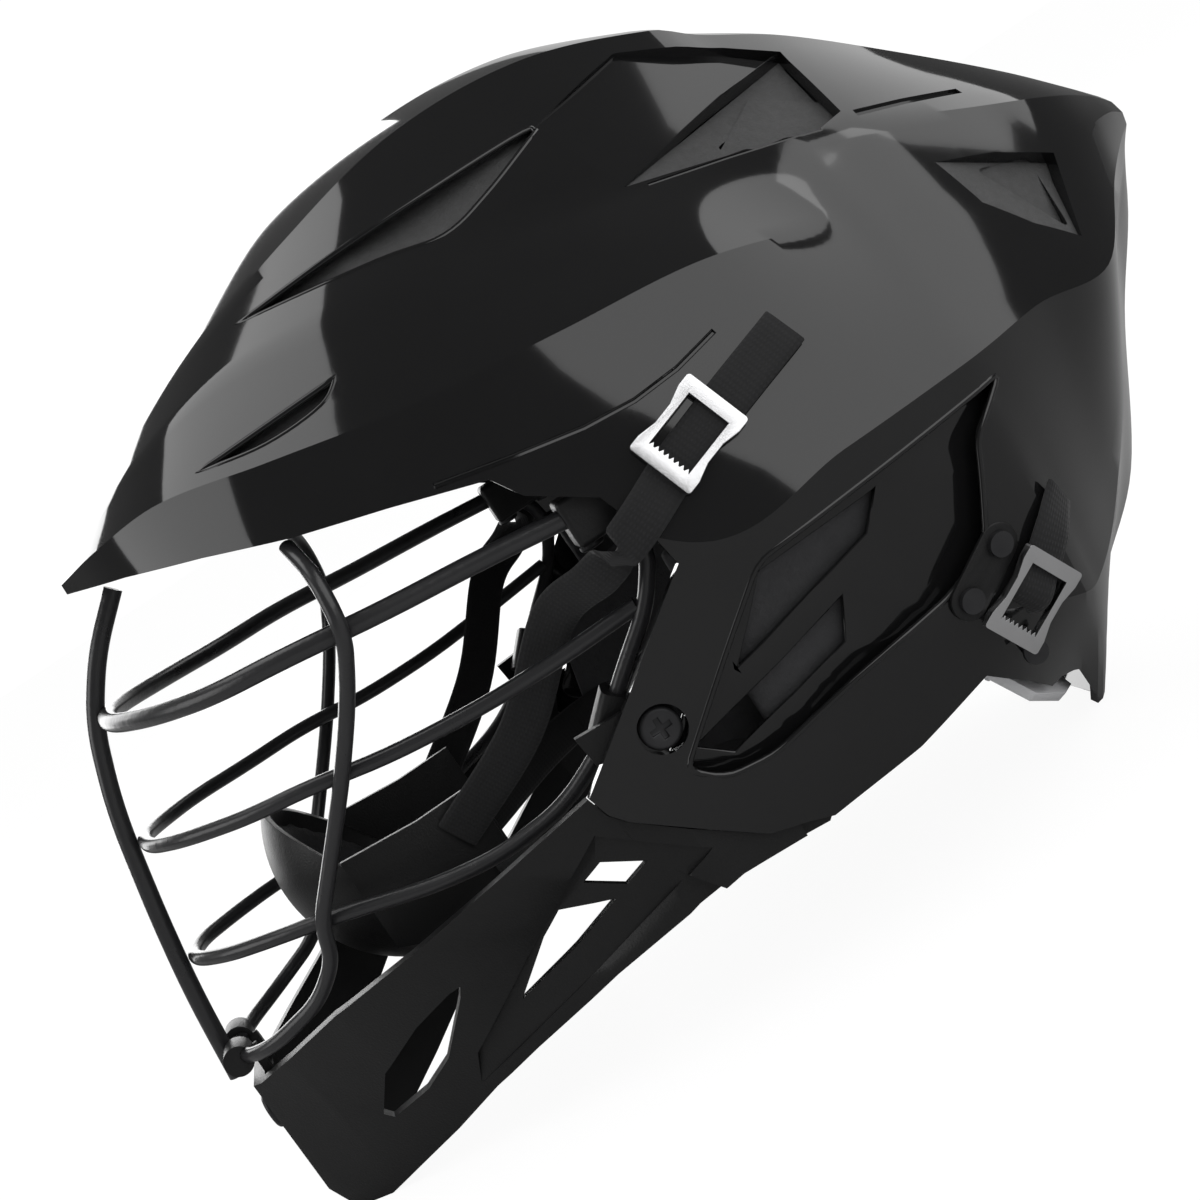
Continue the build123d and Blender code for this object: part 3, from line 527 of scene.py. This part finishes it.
gloss_black = moulded("gloss_black", gloss, {"IOR": 1.5, "Coat Weight": 0.3, "Coat Roughness": 0.02})
grained_black = moulded("grained_black", grainy)
shell = lay("shell_skin", mesh_of(skin(), "shell_skin"), gloss_black)
shell.data.materials.append(grained_black)

# the hollow stays clear of each pressing, so that a wall is left behind it
hollow = lay("hollow", mesh_of(skin(wall, first=hollow_start), "hollow"), gloss_black)
for rows, _ in pressings:
    for _, side in both_sides:
        carved(hollow, mesh_of(slab(rows, press_lift, pressed_wall, side), "pressing"))
carved(shell, hollow.data)
bpy.data.objects.remove(hollow)

# the open front and the edge below it, then the windows and vents
before_visor, below_rim = [(-1.3, -0.2), (-1.3, 0.768)], [(0.455, -0.2)]
front = side_view(before_visor + visor_edge + temple_edge + seam + rim + below_rim)
carved(shell, mesh_of(through([front]), "front_cut"))
holes = [
    softened(side_view(window), 0.004),
    flowing(side_view(upper_brow_vent), corners=(0, 3)),
    flowing(side_view(lower_brow_vent), corners=(0, 1)),
    softened(side_view(crown_vent), 0.003),
    softened(side_view(rear_vent), 0.003),
]
carved(shell, mesh_of(through(holes), "holes"))

# the neck's opening, and the flat foot that the helmet stands on
neck_cut = bmesh.new()
neck_left = [(x * half_width, y * half_length) for x, y in neck]
neck_reach = neck_left[-1][0]
neck_line = [(-x, y) for x, y in neck_left[:0:-1]] + neck_left + [(neck_reach, 0), (-neck_reach, 0)]
lower, upper = [[neck_cut.verts.new((x, y, z)) for x, y in neck_line] for z in (neck_low, neck_high)]
walled(neck_cut, lower, upper)
neck_cut.faces.new(lower[::-1])
neck_cut.faces.new(upper)
carved(shell, mesh_of(neck_cut, "neck_cut"))
under = bmesh.new()
bmesh.ops.create_cube(under, size=1.0, matrix=Matrix.Translation((0, 0, -0.5)))
carved(shell, mesh_of(under, "floor_cut"))

# the pressings and the grooves, then a round seat for each cheek screw's head
for rows, grain in pressings:
    for _, side in both_sides:
        carved(shell, mesh_of(slab(rows, press_lift, 0.0, side, grain=grain), "pressing"))
for line, radius in grooves:
    left = [seat(y, z)[0] for y, z in dense(side_view(line), step=0.004, closed=False)]
    for _, side in both_sides:
        groove = pipe([Vector((p.x * side, p.y, p.z)) for p in left], radius)
        carved(shell, mesh_of(groove, "groove"))
seat_radius, seat_sink, seat_reach = 0.0063, 0.0021, 0.02
for word, side in both_sides:
    low, high = (Vector(corner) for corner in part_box(f"cheek_screw_{word}"))
    centre = (low + high) / 2
    head_seat = max(abs(low.x), abs(high.x)) - seat_sink
    place = Matrix.Translation((side * (head_seat + seat_reach / 2), centre.y, centre.z))
    bore = bmesh.new()
    bmesh.ops.create_cone(
        bore, cap_ends=True, segments=48, radius1=seat_radius, radius2=seat_radius, depth=seat_reach,
        matrix=place @ Matrix.Rotation(pi / 2, 4, "Y"),
    )
    carved(shell, mesh_of(bore, "screw_recess"))
shell.data.shade_smooth()
shell.data.set_sharp_from_angle(angle=radians(crease_angle))
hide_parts("shell")
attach(shell, "helmet")


# Edges of the shell's openings: the moulding rolls over there, so each opening shows a
# thin rounded bead in the same gloss.
bead_radius = 0.0009
bead_sink = 0.0006
for name, outline in zip(("window", "upper_vent", "lower_vent"), holes):
    left = [seat(y, z, -bead_sink)[0] for y, z in dense(outline)]
    for word, side in both_sides:
        ring = pipe([Vector((p.x * side, p.y, p.z)) for p in left], bead_radius, closed=True)
        thing = lay(f"{name}_bead_{word}", mesh_of(ring, name), gloss_black, smooth_angle=60)
        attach(thing, "helmet")


# Vent floors: plates with a coarse grain, which lie behind the openings of the brow, the
# crown and the back. Each fills the space between two depths behind the wall.
floor_top, floor_foot = 0.0008, 0.0022
vent_floors = {
    "upper_vent_floor": [
        (-0.37, 0.905), (-0.17, 0.932), (0.13, 0.93), (0.19, 0.907),
        (0.06, 0.862), (-0.04, 0.85), (-0.15, 0.868),
    ],
    "lower_vent_floor": [
        (-0.56, 0.80), (-0.40, 0.825), (-0.24, 0.825),
        (-0.28, 0.765), (-0.42, 0.76), (-0.54, 0.775),
    ],
    "crown_vent_floor": [(0.32, 0.775), (0.47, 0.82), (0.56, 0.77), (0.55, 0.72), (0.42, 0.735)],
    "rear_vent_floor": [(0.62, 0.63), (0.70, 0.63), (0.79, 0.59), (0.73, 0.48), (0.67, 0.52)],
}
for name, corners in vent_floors.items():
    rows = [(y, z, wall + floor_foot) for y, z in corners]
    for word, side in both_sides:
        plate = slab(rows, -wall - floor_top, side=side)
        thing = lay(f"{name}_{word}", mesh_of(plate, name), grained_black)
        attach(thing, "helmet")


# Chin guard: a matte nylon frame in flat facets, screwed on behind the cheeks. Its
# edges are lightly rounded and its face has a fine moulded grain.
record = frame["record"]
body_of = {node: body for body, members in record["behaviour"]["bodies"].items() for node in members}
weld_reach, flat_angle, edge_angle = 0.000002, 1.5, 22


def refined(node, material, width, segments=2):
    """Copy of one CAD piece with its edges rounded, shown in its place."""
    made = bmesh.new()
    made.from_mesh(nodes[node].data)
    bmesh.ops.remove_doubles(made, verts=made.verts, dist=weld_reach)
    bmesh.ops.dissolve_limit(made, angle_limit=radians(flat_angle), verts=made.verts, edges=made.edges)
    inner = [edge for edge in made.edges if len(edge.link_faces) == 2]
    bmesh.ops.bevel(
        made, geom=[edge for edge in inner if edge.calc_face_angle(0) > radians(edge_angle)],
        offset=width, offset_type="OFFSET", segments=segments, profile=0.6,
        affect="EDGES", clamp_overlap=True,
    )
    thing = lay(f"{node}_shown", mesh_of(made, node), material, smooth_angle=40)
    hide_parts(node)
    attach(thing, body_of[node])
    return thing


def matte(finish):
    """Dull nylon with a fine moulded grain."""
    grain = finish.noise(1600.0, 3)
    return {
        "Roughness": 0.36 + finish.noise(60.0) * 0.12,
        "Normal": finish.bump(grain, 0.0002, 0.5),
        "Base Color": finish.blend(finish.noise(24.0), (0.006, 0.006, 0.0062), (0.008, 0.008, 0.0083)),
    }


matte_black = moulded("matte_black", matte, {"Specular IOR Level": 0.36})
guard = refined("chin_guard", matte_black, 0.0009)
guard_face = face_of(guard.data)
# a shallow recess along each side of the jaw, as y, z and depth
guard_recess = [
    (-0.331, 0.28, 0.0012), (-0.207, 0.207, 0), (-0.43, 0.148, 0),
    (-0.662, 0.086, 0), (-0.64, 0.122, 0.0016), (-0.454, 0.221, 0.0018),
]
recess_lift = 0.01
for _, side in both_sides:
    recess = slab(guard_recess, recess_lift, side=side, face=guard_face)
    carved(guard, mesh_of(recess, "guard_recess"))
guard.data.set_sharp_from_angle(angle=radians(20))


# Sockets and clips: matte nylon blocks. The sockets hold the ends of the wires behind the
# temples, and the clips clamp them behind the cheeks and at the chin.
for word, _ in both_sides:
    refined(f"loop_socket_{word}", matte_black, 0.0004)
    refined(f"side_clip_{word}", matte_black, 0.0005)
refined("chin_clip", matte_black, 0.0005)


# Window panels: black plates behind the side windows, in the gloss of the shell, each
# with two openings and a slanted blade.
for word, _ in both_sides:
    refined(f"window_panel_{word}", gloss_black, 0.0005)


# Rear tabs: matte nylon tongues on the shell's lower edge, which carry the rear buckles.
# Each is fixed with rivets.
for word, _ in both_sides:
    refined(f"rear_tab_{word}", matte_black, 0.0003)


# Face guard: bent steel wires that are welded where they touch, under a baked coating in
# satin black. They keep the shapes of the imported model.
def coating(finish):
    """Satin coating with a little orange peel."""
    orange_peel = finish.noise(420.0, 3)
    return {
        "Roughness": 0.24 + finish.noise(90.0) * 0.1,
        "Normal": finish.bump(orange_peel, 0.0003, 0.4),
        "Base Color": finish.blend(finish.noise(40.0), (0.012, 0.012, 0.013), (0.018, 0.018, 0.019)),
    }


coated_wire = moulded("coated_wire", coating, {"Coat Weight": 0.2, "Coat Roughness": 0.15})


def dressed(node, material):
    """Give a CAD piece that stays as it is a finished material."""
    mesh = nodes[node].data
    mesh.materials.clear()
    mesh.materials.append(material)
    for slot_used in nodes[node].material_slots:
        slot_used.link = "DATA"


for wire in ("centre_bar", "top_loop", "middle_loop", "lower_loop", "side_bars"):
    dressed(wire, coated_wire)


# Screws and rivets: steel in a satin black zinc finish, at the cheeks, the chin, the
# sockets and the back.
def zinc(finish):
    """Satin black zinc."""
    return {
        "Roughness": 0.30 + finish.noise(300.0) * 0.15,
        "Base Color": finish.blend(finish.noise(200.0), (0.03, 0.03, 0.032), (0.05, 0.05, 0.052)),
    }


black_zinc = moulded("black_zinc", zinc, {"Metallic": 0.7})
for word, _ in both_sides:
    refined(f"cheek_screw_{word}", black_zinc, 0.0002)
    dressed(f"socket_screws_{word}", black_zinc)
    dressed(f"rear_rivets_{word}", black_zinc)
    dressed(f"nape_rivet_{word}", black_zinc)
refined("chin_screw", black_zinc, 0.0002)


# Buckles: stamped and polished steel frames with a toothed bar that bites the webbing.
# Each tips up about its plain bar.
def steel(finish):
    """Polished steel with fine scratches."""
    scratches = finish.noise(1200.0, 6, 0.8)
    return {
        "Roughness": 0.14 + scratches * 0.16,
        "Normal": finish.bump(scratches, 0.00006, 0.5),
        "Base Color": finish.blend(finish.noise(150.0), (0.74, 0.74, 0.75), (0.82, 0.82, 0.83)),
    }


bright_steel = moulded("bright_steel", steel, {"Metallic": 1.0})
for end in ("front", "rear"):
    for word, _ in both_sides:
        refined(f"{end}_buckle_{word}", bright_steel, 0.0005, segments=3)


# Webbing: woven black polyester, which runs from each tail under its buckle and then
# inside the shell to the chin cup.
webbing_width, webbing_thickness = 0.0115, 0.0014


def woven(finish):
    """Ribs across the band, crossed by its warp, from the band's own coordinates."""
    cloth = finish.node("ShaderNodeAttribute", {"attribute_name": "cloth"}, out="Vector")
    ribs = {"Vector": cloth, "Scale": 210.0, "Distortion": 0.5}
    along = finish.node("ShaderNodeTexWave", {"bands_direction": "Y"}, ribs)
    across = finish.node("ShaderNodeTexWave", {"bands_direction": "X"}, {"Vector": cloth, "Scale": 330.0})
    weave = along * across
    return {
        "Roughness": 0.72 + weave * 0.15,
        "Normal": finish.bump(weave, 0.0002, 0.45),
        "Base Color": finish.blend(weave, (0.006, 0.006, 0.0065), (0.011, 0.011, 0.012)),
    }


webbing_black = moulded("webbing_black", woven, {"Sheen Weight": 0.08, "Specular IOR Level": 0.35})


def webbing(name, node, frames):
    """Band along a row of (point, across) frames, a little rounded at its selvedges."""
    made = bmesh.new()
    cloth = made.verts.layers.float_vector.new("cloth")
    half, thick = webbing_width / 2, webbing_thickness / 2
    outline = [(-1, 0), (-0.93, 0.8), (-0.6, 1), (0, 1), (0.6, 1), (0.93, 0.8), (1, 0)]
    outline += [(u, -v) for u, v in outline[-2:0:-1]]
    rings, run = [], 0.0
    for i, (here, across) in enumerate(frames):
        ahead = frames[min(i + 1, len(frames) - 1)][0] - frames[max(i - 1, 0)][0]
        heading = ahead.normalized()
        side = (across - heading * across.dot(heading)).normalized()
        up = side.cross(heading)
        run += (here - frames[i - 1][0]).length if i else 0
        ring = []
        for u, v in outline:
            vert = made.verts.new(here + side * (u * half) + up * (v * thick))
            vert[cloth] = (u * half, run, v * thick)
            ring.append(vert)
        rings.append(ring)
    for near, far in zip(rings, rings[1:]):
        walled(made, near, far)
    made.faces.new(rings[0][::-1])
    made.faces.new(rings[-1])
    thing = lay(name, mesh_of(made, name), webbing_black, smooth_angle=60)
    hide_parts(node)
    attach(thing, "helmet")


def spun(points, steps=10):
    """Smooth run through points that each carry their across direction."""
    frames = []
    for i in range(len(points) - 1):
        (a, side_a), (b, side_b) = points[i], points[i + 1]
        before = points[i - 1][0] if i else a - (b - a)
        after = points[i + 2][0] if i + 2 < len(points) else b + (b - a)
        lead, trail = (b - before) / 2, (after - a) / 2
        for step in range(steps):
            t = step / steps
            frames.append((gliding(a, lead, b, trail, t), side_a.lerp(side_b, t)))
    return frames + [points[-1]]


def on_side(share_y, share_z, gap, heading):
    """Point of a band a gap off the shell, and its across direction."""
    place, normal = seat(share_y * half_length, share_z * tall, gap)
    return place, normal.cross(Vector(heading)).normalized()


# where each band lies on the shell and then hangs, from its tail to the chin cup; the rear
# one goes through the wall behind its buckle, there with its depth in walls
lie_gap = 0.0006 + webbing_thickness / 2
front_heading, front_lie = (0, -0.95, -0.31), Vector((-0.1, -0.5, 0.86))
front_lying = ((0.25, 0.602), (0.22, 0.596), (0.135, 0.578), (0.06, 0.56), (0.015, 0.548), (-0.065, 0.522))
front_hanging = ((0.87, -0.135, 0.50), (0.72, -0.21, 0.48), (0.56, -0.33, 0.39), (0.355, -0.49, 0.318))
front_route = [on_side(y, z, lie_gap, front_heading) for y, z in front_lying]
front_route += [(spot(*place), front_lie) for place in front_hanging]
rear_gap = lie_gap + 0.0006
rear_heading, rear_lie = (0, -0.87, -0.49), Vector((0, -0.1, 1))
rear_lying = ((0.455, 0.306), (0.415, 0.282), (0.375, 0.2575), (0.338, 0.237))
rear_inside = ((0.292, 0.218, 1.8), (0.20, 0.20, 2.2), (0.08, 0.225, 3.6))
rear_hanging = ((0.66, -0.22, 0.26), (0.355, -0.465, 0.245))
rear_route = [on_side(y, z, rear_gap, rear_heading) for y, z in rear_lying]
rear_route += [on_side(y, z, -depth * wall, rear_heading) for y, z, depth in rear_inside]
rear_route += [(spot(*place), rear_lie) for place in rear_hanging]
for name, route in (("front_strap", front_route), ("rear_strap", rear_route)):
    frames = spun(route)
    webbing(f"{name}_left_webbing", f"{name}_left", frames)
    opposite = [(Vector((-p.x, p.y, p.z)), Vector((-s.x, s.y, s.z))) for p, s in frames]
    webbing(f"{name}_right_webbing", f"{name}_right", opposite)


# Liner: blocks of moulded foam with rounded edges, fixed inside the shell, and the pad in
# the chin cup.
def foamy(finish):
    """Fine open cells."""
    cells = finish.noise(420.0, 6, 0.75)
    return {
        "Roughness": 0.85 + cells * 0.1,
        "Normal": finish.bump(cells, 0.0008, 0.8),
        "Base Color": finish.blend(cells, (0.012, 0.012, 0.013), (0.032, 0.032, 0.034)),
    }


foam_black = moulded("foam_black", foamy)
block_voxel, fine_voxel = 0.004, 0.0022


def pad(node, voxel):
    """Foam block with soft edges, made from the outline of its CAD solid."""
    thing = lay(f"{node}_foam", nodes[node].data.copy(), foam_black)
    shape = thing.modifiers.new("blocks", "REMESH")
    shape.mode, shape.voxel_size = "VOXEL", voxel
    ease = thing.modifiers.new("ease", "SMOOTH")
    ease.factor, ease.iterations = 0.5, 5
    finer = thing.modifiers.new("finer", "SUBSURF")
    finer.levels = finer.render_levels = 1
    applied(thing)
    thing.data.materials.clear()
    thing.data.materials.append(foam_black)
    thing.data.shade_smooth()
    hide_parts(node)
    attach(thing, "chin_cup" if node == "cup_pad" else "helmet")


for node in ("brow_pad", "crown_pad", "rear_pad", "side_pad_left", "side_pad_right"):
    pad(node, block_voxel)
for node in ("ear_pad_left", "ear_pad_right", "cup_pad"):
    pad(node, fine_voxel)


# Painted shade inside each cheek: a thin black foam sheet, put there to darken the lower corner of the
# window. It lies between two depths behind the shell's face.
cheek_shade_sheet = [(-0.22, 0.22), (-0.16, 0.40), (0.10, 0.42), (0.16, 0.30), (0.10, 0.20), (-0.10, 0.19)]
shade_sheet_near, shade_sheet_far = 0.0200, 0.0215
# each sheet is a dark stand-in for the shade inside the cheek, not a part of the helmet
for word, side in both_sides:
    sheet = slab([(y, z, shade_sheet_far) for y, z in cheek_shade_sheet], -shade_sheet_near, side=side)
    thing = lay(f"cheek_shade_sheet_{word}", mesh_of(sheet, "cheek_shade_sheet"), foam_black)
    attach(thing, "helmet")


# Chin cup: a stiff moulded bowl in matte nylon, with a tab on each side for the webbing.
# It tilts a little in its webbing.
refined("chin_cup", matte_black, 0.0005)


# Nape cradle: a grey nylon band across the back of the neck, which slides on a rivet at
# each side.
def nylon(finish):
    """Pale nylon with a fine grain."""
    return {
        "Roughness": 0.42 + finish.noise(80.0) * 0.12,
        "Normal": finish.bump(finish.noise(1100.0, 4), 0.0002, 0.5),
        "Base Color": finish.blend(finish.noise(20.0), (0.36, 0.36, 0.37), (0.44, 0.44, 0.45)),
    }


grey_nylon = moulded("grey_nylon", nylon)
refined("nape_cradle", grey_nylon, 0.0005)
